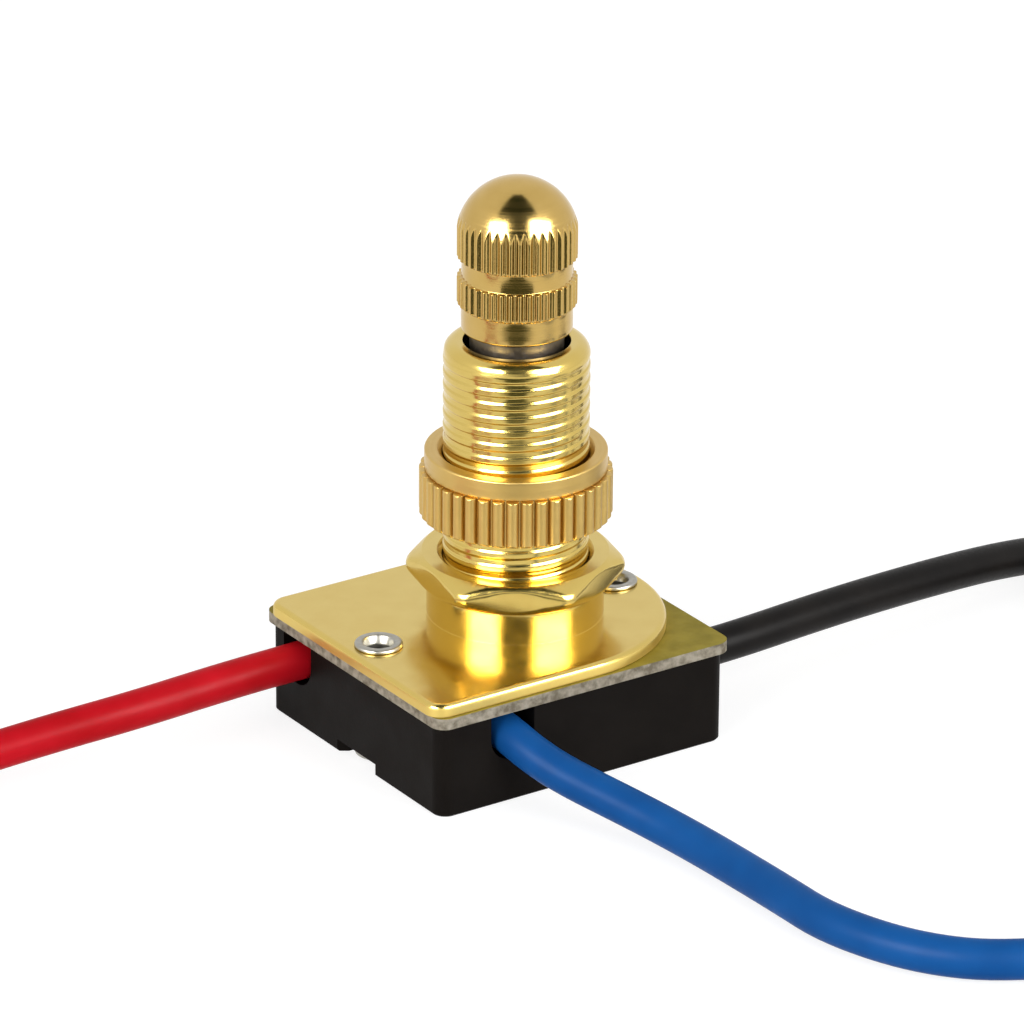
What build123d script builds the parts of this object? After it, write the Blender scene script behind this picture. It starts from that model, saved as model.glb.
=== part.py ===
"""Rotary lamp switch with a threaded bushing, a turned brass knob and three wire leads.

Millimetres. The knob's shaft is the Z axis and the flat underside of the base is z = 0.
+X runs along the long side of the base, towards the round end of the metal cover.
"""

import os
from math import atan2, cos, degrees, pi, radians, sin, tan

from build123d import *

# Base: a moulded tray that the other pieces are built into
base_left = 12.35
base_right = 9.85
base_front = 10.00
base_back = 10.50
base_height = 6.35
base_corner = 1.00
base_edge = 0.12
outer_wall = 1.50
floor_thickness = 1.40
cavity_radius = 6.00
pivot_depth = 0.80

# Leads: where each one leaves the base, and how it is laid in there
lead_diameter = 2.55
lead_height = 4.60
lead_inset = 2.50
slot_clearance = 0.38
pocket_width = 3.80
red_exit_y = 7.10
blue_exit_x = -6.85
black_exit_y = -5.90
conductor_diameter = 1.02
conductor_grip = 2.60

# Rivets: tubular eyelets that clamp cover, insulating plate and base
rivet_inset_left = 1.75
rivet_inset_right = 2.05
rivet_radius = 1.10
rivet_bore = 0.82
rivet_flange_radius = 1.58
rivet_flange_thickness = 0.28
rivet_roll_height = 0.45
rivet_clearance = 0.05
recess_radius = 1.85
recess_height = 0.85
recess_straight = 1.10
recess_flare_run = 2.00
recess_flare = 0.67

# Insulating plate and metal cover
plate_overhang = 0.30
plate_thickness = 0.75
plate_corner = 1.00
cover_overhang = 0.50
cover_radius = 10.10
cover_arc_x = -0.25
cover_thickness = 0.90
cover_corner = 1.20
cover_edge = 0.35
neck_radius = 5.80
neck_height = 2.25
neck_fillet = 0.35
neck_wall = 0.80
bushing_radius = 4.7625
bushing_bore = 3.45
bushing_length = 16.75
bushing_round = 0.90
bushing_lip = 0.20
spring_window = 4.30

# Nuts on the bushing
thread_clearance = 0.06
hex_across_flats = 12.70
hex_thickness = 2.00
hex_chamfer_radius = 6.10
hex_chamfer_angle = 30
hex_turn = 26
nut_countersink = 0.30
panel_gap = 2.66
ring_wall = 1.1275
ring_collar_height = 1.34
ring_knurl_height = 3.22
ring_knurl_lobes = 40
ring_lobe_radius = 0.40
ring_lobe_sunk = 0.05
ring_valley_sunk = 0.15
ring_edge = 0.20

# Knob
knob_gap = 0.80
knob_dome_over_band = 0.07
knob_band_radius = 3.88
knob_collar_sunk = 0.27
knob_collar_height = 1.65
knob_lower_band = 1.95
knob_groove_width = 1.40
knob_groove_depth = 0.30
knob_upper_band = 1.30
knob_lobes = 40
knob_lobe_radius = 0.25
knob_flute_depth = 0.22
knob_edge = 0.22
stud_radius = 1.60
stud_length = 4.20
stud_clearance = 0.03

# Spindle, washer, spring and rotor
running_clearance = 0.05
shaft_radius = 3.05
spindle_flange_step = 0.15
spindle_flange_thickness = 0.50
washer_thickness = 0.35
washer_clearance = 0.45
square_side = 3.20
square_clearance = 0.04
pivot_radius = 0.80
rotor_across_flats = 8.80
rotor_corner_radius = 4.65
rotor_thickness = 2.20
spring_wire = 0.50
spring_clearance = 0.02
spring_mean_radius = 3.50
spring_turns = 3
bridge_thickness = 0.30
bridge_hub_radius = 3.10
bridge_radius = 5.00
bridge_lobe_angle = 62
contact_clearance = 0.12

# Fixed contacts and detent springs
strip_thickness = 0.30
strip_width = 1.60
contact_reach = 2.80
barrel_wall = 0.34
web_thickness = 0.60
detent_thickness = 0.25
detent_height = 1.60
detent_clearance = 0.06

# Each lead's length from the base to its tip, and the coil that takes up what lies out of sight
lead_length = 152.0
coil_outer_strand = 14.00
coil_inner_strand = 11.40
coil_gap = 0.25
bare_end_length = 8.00
bare_end_radius = 10.10
bare_end_inward = 30
bend_share = 0.45

# Sizes and levels that follow from the ones above
rivet_left = rivet_inset_left - base_left
rivet_right = base_right - rivet_inset_right
nut_bore = bushing_radius + thread_clearance
ring_collar_radius = nut_bore + ring_wall
ring_lobe_circle = ring_collar_radius - ring_lobe_sunk
ring_valley_radius = ring_collar_radius - ring_valley_sunk
knob_dome_radius = knob_band_radius + knob_dome_over_band
knob_collar_radius = knob_band_radius - knob_collar_sunk
knob_groove_radius = knob_band_radius - knob_groove_depth
knob_valley_radius = knob_band_radius - knob_flute_depth
plate_bottom = base_height
cover_bottom = plate_bottom + plate_thickness
cover_top = cover_bottom + cover_thickness
neck_top = cover_top + neck_height
neck_roof = neck_top - neck_wall
bushing_top = neck_top + bushing_length
hex_top = neck_top + hex_thickness
ring_bottom = hex_top + panel_gap
ring_ledge = ring_bottom + ring_knurl_height
ring_top = ring_ledge + ring_collar_height
knob_bottom = bushing_top + knob_gap
lower_band_bottom = knob_bottom + knob_collar_height
lower_band_top = lower_band_bottom + knob_lower_band
upper_band_bottom = lower_band_top + knob_groove_width
dome_centre = upper_band_bottom + knob_upper_band
washer_radius = neck_radius - neck_wall - washer_clearance
spindle_flange_radius = washer_radius - spindle_flange_step
washer_bottom = neck_roof - washer_thickness
flange_bottom = washer_bottom - spindle_flange_thickness
rotor_top = plate_bottom - plate_thickness
rotor_bottom = rotor_top - rotor_thickness
bridge_bottom = rotor_bottom - bridge_thickness
lead_slot = lead_diameter + 2 * slot_clearance

os.makedirs("parts", exist_ok=True)


def keep(part, name):
    """Label a finished piece and write its file."""
    part.label = name
    export_step(part, f"parts/{name}.step")


def exit_plane(x, y, inward):
    """A plane at a lead's exit, with its x direction pointing into the base."""
    return Plane(origin=(x, y, 0), x_dir=inward, z_dir=(0, 0, 1))


red_exit = exit_plane(-base_left, red_exit_y, (1, 0, 0))
blue_exit = exit_plane(blue_exit_x, -base_front, (0, 1, 0))
black_exit = exit_plane(base_right, black_exit_y, (-1, 0, 0))

# Along each lead's way in, how far it is to the line of its contact, and from there to the contact
red_run = base_left - contact_reach
blue_run = base_front - contact_reach
black_run = base_right - contact_reach
red_leg = red_exit_y - contact_reach
blue_leg = -blue_exit_x - contact_reach
black_leg = -black_exit_y - contact_reach
terminals = {
    "red": (red_exit, red_run, red_leg),
    "blue": (blue_exit, blue_run, blue_leg),
    "black": (black_exit, black_run, black_leg),
}


# Base housing: tray with a round cavity, three wire pockets and two rivet holes
base_length = base_left + base_right
base_width = base_front + base_back
base_middle = ((base_right - base_left) / 2, (base_back - base_front) / 2)

with BuildPart() as base_housing:
    with BuildSketch():
        with Locations(base_middle):
            Rectangle(base_length, base_width)
    extrude(amount=base_height)
    fillet(base_housing.edges().filter_by(Axis.Z), base_corner)
    chamfer(base_housing.faces().sort_by(Axis.Z)[0].edges(), base_edge)
    with BuildSketch(Plane.XY.offset(floor_thickness)):
        Circle(cavity_radius)
    extrude(amount=base_height - floor_thickness, mode=Mode.SUBTRACT)
    for exit_at, run, leg in terminals.values():
        pocket_end = run + strip_width
        with BuildSketch(exit_at.offset(floor_thickness)):
            with Locations(((outer_wall + pocket_end) / 2, 0)):
                Rectangle(pocket_end - outer_wall, pocket_width)
            with Locations((run, -leg / 2)):
                Rectangle(strip_width + 2 * slot_clearance, leg)
        extrude(amount=base_height - floor_thickness, mode=Mode.SUBTRACT)
        slot_side = Plane(
            origin=exit_at.from_local_coords((-1, 0, lead_height)),
            x_dir=exit_at.y_dir,
            z_dir=exit_at.x_dir,
        )
        with BuildSketch(slot_side):
            Circle(lead_slot / 2)
            with Locations((0, (base_height - lead_height) / 2)):
                Rectangle(lead_slot, base_height - lead_height)
        extrude(amount=outer_wall + 2, mode=Mode.SUBTRACT)
    for x, outward in ((rivet_left, -1), (rivet_right, 1)):
        with BuildSketch():
            with Locations((x, 0)):
                Circle(rivet_radius + rivet_clearance)
        extrude(amount=base_height, mode=Mode.SUBTRACT)
        with BuildSketch():
            with Locations((x, 0)):
                Circle(recess_radius)
            straight_to = x + outward * recess_straight
            flare_to = straight_to + outward * recess_flare_run
            flare_width = recess_radius + recess_flare_run * recess_flare
            with BuildLine():
                Polyline(
                    (x, recess_radius),
                    (straight_to, recess_radius),
                    (flare_to, flare_width),
                    (flare_to, -flare_width),
                    (straight_to, -recess_radius),
                    (x, -recess_radius),
                    close=True,
                )
            make_face()
        extrude(amount=recess_height, mode=Mode.SUBTRACT)
    with BuildSketch(Plane.XY.offset(floor_thickness - pivot_depth)):
        Circle(pivot_radius + running_clearance)
    extrude(amount=pivot_depth, mode=Mode.SUBTRACT)
keep(base_housing.part, "base_housing")


# Insulating plate: flat sheet, cut square, that closes the tray
with BuildPart() as insulating_plate:
    with BuildSketch(Plane.XY.offset(plate_bottom)) as plate_outline:
        with Locations(base_middle):
            Rectangle(base_length + 2 * plate_overhang, base_width + 2 * plate_overhang)
        fillet(plate_outline.vertices(), plate_corner)
        Circle(spring_window, mode=Mode.SUBTRACT)
        with Locations((rivet_left, 0), (rivet_right, 0)):
            Circle(rivet_radius + rivet_clearance, mode=Mode.SUBTRACT)
    extrude(amount=plate_thickness)
keep(insulating_plate.part, "insulating_plate")


# Metal cover: one drawn piece, a D-shaped plate with a neck and the threaded bushing
cover_left = -base_left - cover_overhang

with BuildPart() as metal_cover:
    with BuildSketch(Plane.XY.offset(cover_bottom)) as cover_outline:
        with Locations((cover_arc_x, 0)):
            Circle(cover_radius)
        with Locations(((cover_left + cover_arc_x) / 2, 0)):
            Rectangle(cover_arc_x - cover_left, 2 * cover_radius)
        fillet(cover_outline.vertices().group_by(Axis.X)[0], cover_corner)
    extrude(amount=cover_thickness)
    fillet(metal_cover.faces().sort_by(Axis.Z)[-1].edges(), cover_edge)
    with BuildSketch(Plane.XZ):
        with BuildLine():
            Polyline(
                (0, cover_bottom),
                (neck_radius + neck_fillet, cover_bottom),
                (neck_radius + neck_fillet, cover_top),
            )
            RadiusArc(
                (neck_radius + neck_fillet, cover_top),
                (neck_radius, cover_top + neck_fillet),
                neck_fillet,
            )
            Polyline(
                (neck_radius, cover_top + neck_fillet),
                (neck_radius, neck_top),
                (bushing_radius, neck_top),
                (bushing_radius, bushing_top - bushing_round),
            )
            RadiusArc(
                (bushing_radius, bushing_top - bushing_round),
                (bushing_radius - bushing_round, bushing_top),
                -bushing_round,
            )
            Polyline(
                (bushing_radius - bushing_round, bushing_top),
                (0, bushing_top),
                (0, cover_bottom),
            )
        make_face()
    revolve(axis=Axis.Z)
    with BuildSketch(Plane.XZ):
        with BuildLine():
            Polyline(
                (0, cover_bottom - 1),
                (neck_radius - neck_wall, cover_bottom - 1),
                (neck_radius - neck_wall, neck_roof),
                (bushing_bore, neck_roof),
                (bushing_bore, bushing_top - bushing_lip),
                (bushing_bore + bushing_lip, bushing_top),
                (bushing_bore + bushing_lip, bushing_top + 1),
                (0, bushing_top + 1),
                close=True,
            )
        make_face()
    revolve(axis=Axis.Z, mode=Mode.SUBTRACT)
    with BuildSketch(Plane.XY.offset(cover_bottom)):
        with Locations((rivet_left, 0), (rivet_right, 0)):
            Circle(rivet_radius + rivet_clearance)
    extrude(amount=cover_thickness, mode=Mode.SUBTRACT)
keep(metal_cover.part, "metal_cover")


# Hex nut: thin nut, chamfered on both faces, that shoulders on the neck
hex_corner_radius = hex_across_flats / 2 / cos(pi / 6)
hex_drop = (hex_corner_radius - hex_chamfer_radius) * tan(radians(hex_chamfer_angle))

with BuildPart() as hex_nut:
    with BuildSketch(Plane.XY.offset(neck_top)):
        RegularPolygon(hex_across_flats / 2, 6, major_radius=False, rotation=hex_turn)
    extrude(amount=hex_thickness)
    with BuildSketch(Plane.XZ):
        with BuildLine():
            Polyline(
                (0, neck_top),
                (hex_chamfer_radius, neck_top),
                (hex_corner_radius, neck_top + hex_drop),
                (hex_corner_radius, hex_top - hex_drop),
                (hex_chamfer_radius, hex_top),
                (0, hex_top),
                close=True,
            )
        make_face()
    revolve(axis=Axis.Z, mode=Mode.INTERSECT)
    with BuildSketch(Plane.XZ):
        with BuildLine():
            Polyline(
                (0, neck_top),
                (nut_bore, neck_top),
                (nut_bore, hex_top - nut_countersink),
                (nut_bore + nut_countersink, hex_top),
                (0, hex_top),
                close=True,
            )
        make_face()
    revolve(axis=Axis.Z, mode=Mode.SUBTRACT)
keep(hex_nut.part, "hex_nut")


# Ring nut: turned, with a fluted band below a plain collar
ring_band_radius = ring_lobe_circle + ring_lobe_radius

with BuildPart() as ring_nut:
    with BuildSketch(Plane.XY.offset(ring_bottom)):
        Circle(ring_valley_radius)
        with PolarLocations(ring_lobe_circle, ring_knurl_lobes):
            Circle(ring_lobe_radius)
    extrude(amount=ring_knurl_height)
    with BuildSketch(Plane.XZ):
        with BuildLine():
            Polyline(
                (0, ring_bottom),
                (ring_band_radius - 2 * ring_edge, ring_bottom),
                (ring_band_radius, ring_bottom + ring_edge),
                (ring_band_radius, ring_ledge - ring_edge),
                (ring_band_radius - ring_edge, ring_ledge),
                (0, ring_ledge),
                close=True,
            )
        make_face()
    revolve(axis=Axis.Z, mode=Mode.INTERSECT)
    with BuildSketch(Plane.XY.offset(ring_ledge)):
        Circle(ring_collar_radius)
    extrude(amount=ring_collar_height)
    chamfer(ring_nut.faces().sort_by(Axis.Z)[-1].edges(), ring_edge)
    with BuildSketch(Plane.XZ):
        with BuildLine():
            Polyline(
                (0, ring_bottom),
                (nut_bore + nut_countersink, ring_bottom),
                (nut_bore, ring_bottom + nut_countersink),
                (nut_bore, ring_top - nut_countersink),
                (nut_bore + nut_countersink, ring_top),
                (0, ring_top),
                close=True,
            )
        make_face()
    revolve(axis=Axis.Z, mode=Mode.SUBTRACT)
keep(ring_nut.part, "ring_nut")


# Knob: turned bullet with two fluted bands, a groove between them and a plain collar
knob_lobe_circle = knob_band_radius - knob_lobe_radius
band_meets_dome = (knob_dome_radius**2 - knob_band_radius**2) ** 0.5
groove_middle = (lower_band_top + upper_band_bottom) / 2
groove_flat = knob_groove_width / 6

with BuildPart() as knob:
    with BuildSketch(Plane.XZ):
        with BuildLine():
            Polyline(
                (0, lower_band_bottom),
                (knob_collar_radius, lower_band_bottom),
                (knob_band_radius, lower_band_bottom + knob_edge),
                (knob_band_radius, lower_band_top),
                (knob_groove_radius, groove_middle - groove_flat),
                (knob_groove_radius, groove_middle + groove_flat),
                (knob_band_radius, upper_band_bottom),
                (knob_band_radius, dome_centre + band_meets_dome),
            )
            RadiusArc(
                (knob_band_radius, dome_centre + band_meets_dome),
                (0, dome_centre + knob_dome_radius),
                -knob_dome_radius,
            )
            Line((0, dome_centre + knob_dome_radius), (0, lower_band_bottom))
        make_face()
    revolve(axis=Axis.Z)
    with BuildSketch(Plane.XY.offset(lower_band_bottom)):
        Circle(knob_valley_radius)
        with PolarLocations(knob_lobe_circle, knob_lobes):
            Circle(knob_lobe_radius)
    extrude(amount=dome_centre + knob_dome_radius - lower_band_bottom + 1, mode=Mode.INTERSECT)
    with BuildSketch(Plane.XY.offset(knob_bottom)):
        Circle(knob_collar_radius)
    extrude(amount=knob_collar_height)
    chamfer(knob.faces().sort_by(Axis.Z)[0].edges(), knob_edge)
    with BuildSketch(Plane.XY.offset(knob_bottom)):
        Circle(stud_radius + stud_clearance)
    extrude(amount=stud_length, mode=Mode.SUBTRACT)
keep(knob.part, "knob")


# Spindle: stud for the knob, shaft, thrust flange, square drive and pivot, turned in one piece
shaft_top = knob_bottom
pivot_bottom = floor_thickness - pivot_depth + running_clearance
square_bottom = floor_thickness + strip_thickness

with BuildPart() as spindle:
    with BuildSketch(Plane.XZ):
        with BuildLine():
            Polyline(
                (0, square_bottom),
                (0, pivot_bottom),
                (pivot_radius, pivot_bottom),
                (pivot_radius, square_bottom),
                close=True,
            )
        make_face()
        with BuildLine():
            Polyline(
                (0, flange_bottom),
                (spindle_flange_radius, flange_bottom),
                (spindle_flange_radius, washer_bottom),
                (shaft_radius, washer_bottom),
                (shaft_radius, shaft_top),
                (stud_radius, shaft_top),
                (stud_radius, shaft_top + stud_length - knob_edge),
                (0, shaft_top + stud_length - knob_edge),
                close=True,
            )
        make_face()
    revolve(axis=Axis.Z)
    with BuildSketch(Plane.XY.offset(square_bottom)):
        Rectangle(square_side, square_side)
    extrude(amount=flange_bottom - square_bottom)
keep(spindle.part, "spindle")


# Thrust washer between the spindle's flange and the roof of the neck
with BuildPart() as thrust_washer:
    with BuildSketch(Plane.XY.offset(washer_bottom)):
        Circle(washer_radius)
        Circle(shaft_radius + running_clearance, mode=Mode.SUBTRACT)
    extrude(amount=washer_thickness)
keep(thrust_washer.part, "thrust_washer")


# Compression spring of square wire round the square drive, from the rotor up to the flange
spring_height = flange_bottom - rotor_top - spring_wire - 2 * spring_clearance
with BuildPart() as pressure_spring:
    with BuildLine() as spring_path:
        Helix(
            pitch=spring_height / spring_turns,
            height=spring_height,
            radius=spring_mean_radius,
            center=(0, 0, rotor_top + spring_wire / 2 + spring_clearance),
        )
    wire_start = Plane(origin=spring_path.line @ 0, x_dir=(1, 0, 0), z_dir=spring_path.line % 0)
    with BuildSketch(wire_start):
        Rectangle(spring_wire, spring_wire)
    sweep(is_frenet=True)
keep(pressure_spring.part, "pressure_spring")


# Rotor: moulded square cam with rounded corners
with BuildPart() as rotor:
    with BuildSketch(Plane.XY.offset(rotor_bottom)):
        Rectangle(rotor_across_flats, rotor_across_flats)
        Circle(rotor_corner_radius, mode=Mode.INTERSECT)
        Rectangle(
            square_side + 2 * square_clearance,
            square_side + 2 * square_clearance,
            mode=Mode.SUBTRACT,
        )
    extrude(amount=rotor_thickness)
keep(rotor.part, "rotor")


# Bridging contact: hub and three lobes, so that one of four positions is off
with BuildPart() as bridging_contact:
    with BuildSketch(Plane.XY.offset(bridge_bottom)):
        for lobe in (45, 135, 225):
            with BuildLine():
                start = lobe - bridge_lobe_angle / 2
                arc = CenterArc((0, 0), bridge_radius, start, bridge_lobe_angle)
                Line((0, 0), arc @ 0)
                Line((0, 0), arc @ 1)
            make_face()
        Circle(bridge_hub_radius)
        Rectangle(
            square_side + 2 * square_clearance,
            square_side + 2 * square_clearance,
            mode=Mode.SUBTRACT,
        )
    extrude(amount=bridge_thickness)
keep(bridging_contact.part, "bridging_contact")


# Fixed contacts: a barrel crimped on the lead's strands, a web, a floor strip and a sprung tongue
barrel_radius = conductor_diameter / 2 + barrel_wall
tongue_top = bridge_bottom - contact_clearance


def fixed_contact(name, exit_at, run, leg):
    """One contact, from the lead's exit plane, the way in and the way across to the tongue."""
    barrel_near = lead_inset + 0.4
    barrel_far = lead_inset + conductor_grip
    with BuildPart() as contact:
        end_on = Plane(
            origin=exit_at.from_local_coords((barrel_near, 0, lead_height)),
            x_dir=exit_at.y_dir,
            z_dir=exit_at.x_dir,
        )
        with BuildSketch(end_on):
            Circle(barrel_radius)
            Circle(conductor_diameter / 2, mode=Mode.SUBTRACT)
        extrude(amount=barrel_far - barrel_near)
        web_top = lead_height - conductor_diameter / 2 - barrel_wall / 2
        with BuildSketch(exit_at.offset(floor_thickness)):
            with Locations(((barrel_near + barrel_far) / 2, 0)):
                Rectangle(barrel_far - barrel_near, web_thickness)
        extrude(amount=web_top - floor_thickness)
        strip_end = run + strip_width / 2
        with BuildSketch(exit_at.offset(floor_thickness)):
            with Locations(((barrel_near + strip_end) / 2, 0)):
                Rectangle(strip_end - barrel_near, strip_width)
        extrude(amount=strip_thickness)
        side_on = Plane(
            origin=exit_at.from_local_coords((run + strip_width / 2, 0, 0)),
            x_dir=-exit_at.y_dir,
            z_dir=-exit_at.x_dir,
        )
        low = floor_thickness
        high = tongue_top - strip_thickness
        knee = strip_width / 2
        with BuildSketch(side_on):
            with BuildLine():
                Polyline(
                    (0, low),
                    (knee, low),
                    (leg - strip_width / 2, high),
                    (leg + strip_width / 2, high),
                    (leg + strip_width / 2, tongue_top),
                    (leg - strip_width / 2, tongue_top),
                    (knee, low + strip_thickness),
                    (0, low + strip_thickness),
                    close=True,
                )
            make_face()
        extrude(amount=strip_width)
    keep(contact.part, name)


for colour, (exit_at, run, leg) in terminals.items():
    fixed_contact(f"{colour}_contact", exit_at, run, leg)


# Detent springs: flat blades along two opposite flats of the rotor, just clear of its turning corners
detent_reach = rotor_corner_radius + detent_clearance + detent_thickness
detent_length = 2 * (cavity_radius**2 - detent_reach**2) ** 0.5 - detent_clearance
detent_bottom = (rotor_top + rotor_bottom - detent_height) / 2

for name, x in (
    ("detent_spring_left", -detent_reach + detent_thickness / 2),
    ("detent_spring_right", detent_reach - detent_thickness / 2),
):
    with BuildPart() as detent_spring:
        with BuildSketch(Plane.XY.offset(detent_bottom)):
            with Locations((x, 0)):
                Rectangle(detent_thickness, detent_length)
        extrude(amount=detent_height)
    keep(detent_spring.part, name)


# Rivets: tubular eyelets, flanged over the cover and rolled over inside the recess of the base
for name, x in (("rivet_front", rivet_left), ("rivet_rear", rivet_right)):
    low = recess_height - rivet_roll_height
    high = cover_top + rivet_flange_thickness
    round_off = rivet_flange_thickness * 0.45
    with BuildPart() as rivet:
        with BuildSketch(Plane.XZ):
            with BuildLine():
                Polyline(
                    (rivet_bore, low + round_off),
                    (rivet_bore + round_off, low),
                    (rivet_flange_radius - round_off, low),
                    (rivet_flange_radius, low + round_off),
                    (rivet_flange_radius, recess_height),
                    (rivet_radius, recess_height),
                    (rivet_radius, cover_top),
                    (rivet_flange_radius, cover_top),
                    (rivet_flange_radius, high - round_off),
                    (rivet_flange_radius - round_off, high),
                    (rivet_bore + round_off, high),
                    (rivet_bore, high - round_off),
                    close=True,
                )
            make_face()
        revolve(axis=Axis.Z)
    rivet.part.position = (x, 0, 0)
    keep(rivet.part, name)


# Leads
lead_radius = lead_diameter / 2
rest = lead_radius
mid_base = lead_height

red_route = [
    (-base_left + lead_inset, red_exit_y, mid_base),
    (-13.20, red_exit_y, mid_base),
    (-18.60, 7.00, 4.55),
    (-24.60, 7.05, 4.25),
    (-30.40, 8.30, 3.50),
    (-36.80, 9.80, 2.40),
    (-43.80, 10.60, 1.55),
    (-51.20, 10.80, rest),
    (-58.20, 10.45, rest),
]
blue_route = [
    (blue_exit_x, -base_front + lead_inset, mid_base),
    (-6.82, -9.60, 4.45),
    (-6.55, -11.60, 3.90),
    (-5.58, -13.82, 3.00),
    (-3.74, -18.39, 2.10),
    (-2.75, -21.30, 1.60),
    (-2.17, -24.64, 1.35),
    (-1.93, -28.12, rest),
    (-1.80, -32.28, rest),
    (-1.75, -37.60, rest),
    (0.57, -43.80, rest),
    (4.82, -47.83, rest),
    (15.60, -51.60, rest),
    (25.50, -55.35, rest),
]
black_route = [
    (base_right - lead_inset, black_exit_y, mid_base),
    (11.00, black_exit_y, mid_base),
    (14.60, -5.75, 4.60),
    (19.50, -5.20, 4.55),
    (25.00, -4.50, 4.35),
    (31.80, -3.40, 3.80),
    (38.20, -2.00, 2.90),
    (44.00, -1.00, 1.80),
    (49.40, -0.60, rest),
]

# For each lead its route and the way its coil turns, where 1 is anticlockwise
leads = {
    "red": (red_route, 1),
    "blue": (blue_route, 1),
    "black": (black_route, -1),
}


def bend_radii(route):
    """The largest radius that each corner's two runs leave room for."""
    radii = []
    for before, corner, after in zip(route, route[1:], route[2:]):
        way_in = Vector(*corner) - Vector(*before)
        way_out = Vector(*after) - Vector(*corner)
        half_turn = radians(way_in.get_angle(way_out)) / 2
        radii.append(bend_share * min(way_in.length, way_out.length) / tan(half_turn))
    return radii


for colour, (route, way) in leads.items():
    radii = bend_radii(route)
    with BuildPart() as lead:
        with BuildLine() as lead_path:
            FilletPolyline(*route, radius=radii)
        with BuildSketch(Plane(origin=lead_path.wire() @ 0, z_dir=lead_path.wire() % 0)):
            Circle(lead_radius)
        sweep()
    keep(lead.part, f"{colour}_lead")
    length = lead_path.wire().length
    print(colour, "lead: length", round(length, 2), "tightest bend", round(min(radii), 2))
    print("  volume over section times length", round(lead.part.volume / (pi * lead_radius**2 * length), 5))

    # The stripped strands that the contact's barrel grips
    exit_at = terminals[colour][0]
    grip = Plane(
        origin=exit_at.from_local_coords((lead_inset, 0, lead_height)),
        x_dir=exit_at.y_dir,
        z_dir=exit_at.x_dir,
    )
    with BuildPart() as strands:
        with BuildSketch(grip):
            Circle(conductor_diameter / 2)
        extrude(amount=conductor_grip)
    keep(strands.part, f"{colour}_strands")

    # The coiled length, as one flat ring as wide as its strands, cut back where the lead runs up to it
    heading = Vector(*route[-1][:2]) - Vector(*route[-2][:2])
    arrival = Plane(origin=(*route[-1][:2], 0), x_dir=heading, z_dir=(0, 0, 1))
    middle = arrival.from_local_coords((0, way * coil_outer_strand, 0))
    inner_side = way * (lead_radius + coil_gap)
    outer_side = -way * coil_outer_strand
    with BuildPart() as coil:
        with BuildSketch():
            with Locations(middle):
                Circle(coil_outer_strand + lead_radius)
                Circle(coil_inner_strand - lead_radius, mode=Mode.SUBTRACT)
        extrude(amount=lead_diameter)
        with BuildSketch(arrival):
            with Locations((-coil_outer_strand / 2, (inner_side + outer_side) / 2)):
                Rectangle(coil_outer_strand, abs(inner_side - outer_side))
        extrude(amount=lead_diameter, mode=Mode.SUBTRACT)
    keep(coil.part, f"{colour}_lead_coil")

    # The stripped far end, inside the coil, where the lead's full length runs out
    coiled = lead_length + lead_inset - bare_end_length - length
    first_turn = pi * (coil_outer_strand + coil_inner_strand)
    turned = 2 * pi * min(coiled / first_turn, 1) + max(coiled - first_turn, 0) / coil_inner_strand
    start = Vector(*route[-1][:2]) - Vector(middle.X, middle.Y)
    at = atan2(start.Y, start.X) + way * turned
    inward = at + way * (pi / 2 + radians(bare_end_inward))
    bare_plane = Plane(
        origin=middle + Vector(bare_end_radius * cos(at), bare_end_radius * sin(at), rest),
        z_dir=(cos(inward), sin(inward), 0),
    )
    print("  coiled", round(coiled, 2), "bare end at", round(degrees(at) % 360, 1))
    with BuildPart() as bare_end:
        with BuildSketch(bare_plane):
            Circle(conductor_diameter / 2)
        extrude(amount=bare_end_length)
    keep(bare_end.part, f"{colour}_bare_end")
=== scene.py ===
"""Looks of the rotary lamp switch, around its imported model.

The model's frame: the knob's shaft is the Z axis, the base stands on z = 0 and +X runs along the
long side of the base. Shapes are worked out in millimetres and written to their meshes in metres.
"""

from math import atan2, ceil, cos, degrees, pi, radians, sin, tan

import bmesh
import bpy
import numpy as np
from mathutils import Matrix, Quaternion, Vector
from mathutils.geometry import delaunay_2d_cdt


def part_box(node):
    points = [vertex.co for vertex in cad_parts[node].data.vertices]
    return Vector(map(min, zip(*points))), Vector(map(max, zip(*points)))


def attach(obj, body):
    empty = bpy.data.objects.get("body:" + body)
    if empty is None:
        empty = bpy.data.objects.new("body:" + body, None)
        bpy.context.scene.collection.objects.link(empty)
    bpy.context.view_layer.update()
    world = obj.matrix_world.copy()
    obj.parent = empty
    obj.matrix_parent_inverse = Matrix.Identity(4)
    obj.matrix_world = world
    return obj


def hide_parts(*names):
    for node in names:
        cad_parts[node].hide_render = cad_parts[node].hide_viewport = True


MM = 0.001

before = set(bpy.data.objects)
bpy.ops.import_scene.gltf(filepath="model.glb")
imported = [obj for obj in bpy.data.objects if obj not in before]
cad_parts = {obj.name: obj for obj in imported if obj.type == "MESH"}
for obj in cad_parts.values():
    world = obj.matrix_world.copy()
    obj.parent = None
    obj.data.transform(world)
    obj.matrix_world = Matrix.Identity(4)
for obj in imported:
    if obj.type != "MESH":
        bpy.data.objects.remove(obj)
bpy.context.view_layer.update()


# Sizes, in millimetres, as in the model
BUSHING_RADIUS = 4.7625
BUSHING_BORE = 3.45
BUSHING_ROUND = 0.90
BUSHING_LIP = 0.20
THREAD_PITCH = 25.4 / 27
THREAD_DEPTH = 0.09
NUT_BORE = BUSHING_RADIUS + 0.06
NUT_COUNTERSINK = 0.30
NECK_RADIUS = 5.80
NECK_HEIGHT = 2.25
NECK_FOOT = 0.02
NECK_EDGE = 0.22
NECK_WALL = 0.80
NECK_INSIDE = NECK_RADIUS - NECK_WALL
COVER_RADIUS = 10.10
COVER_ARC_X = -0.25
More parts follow.
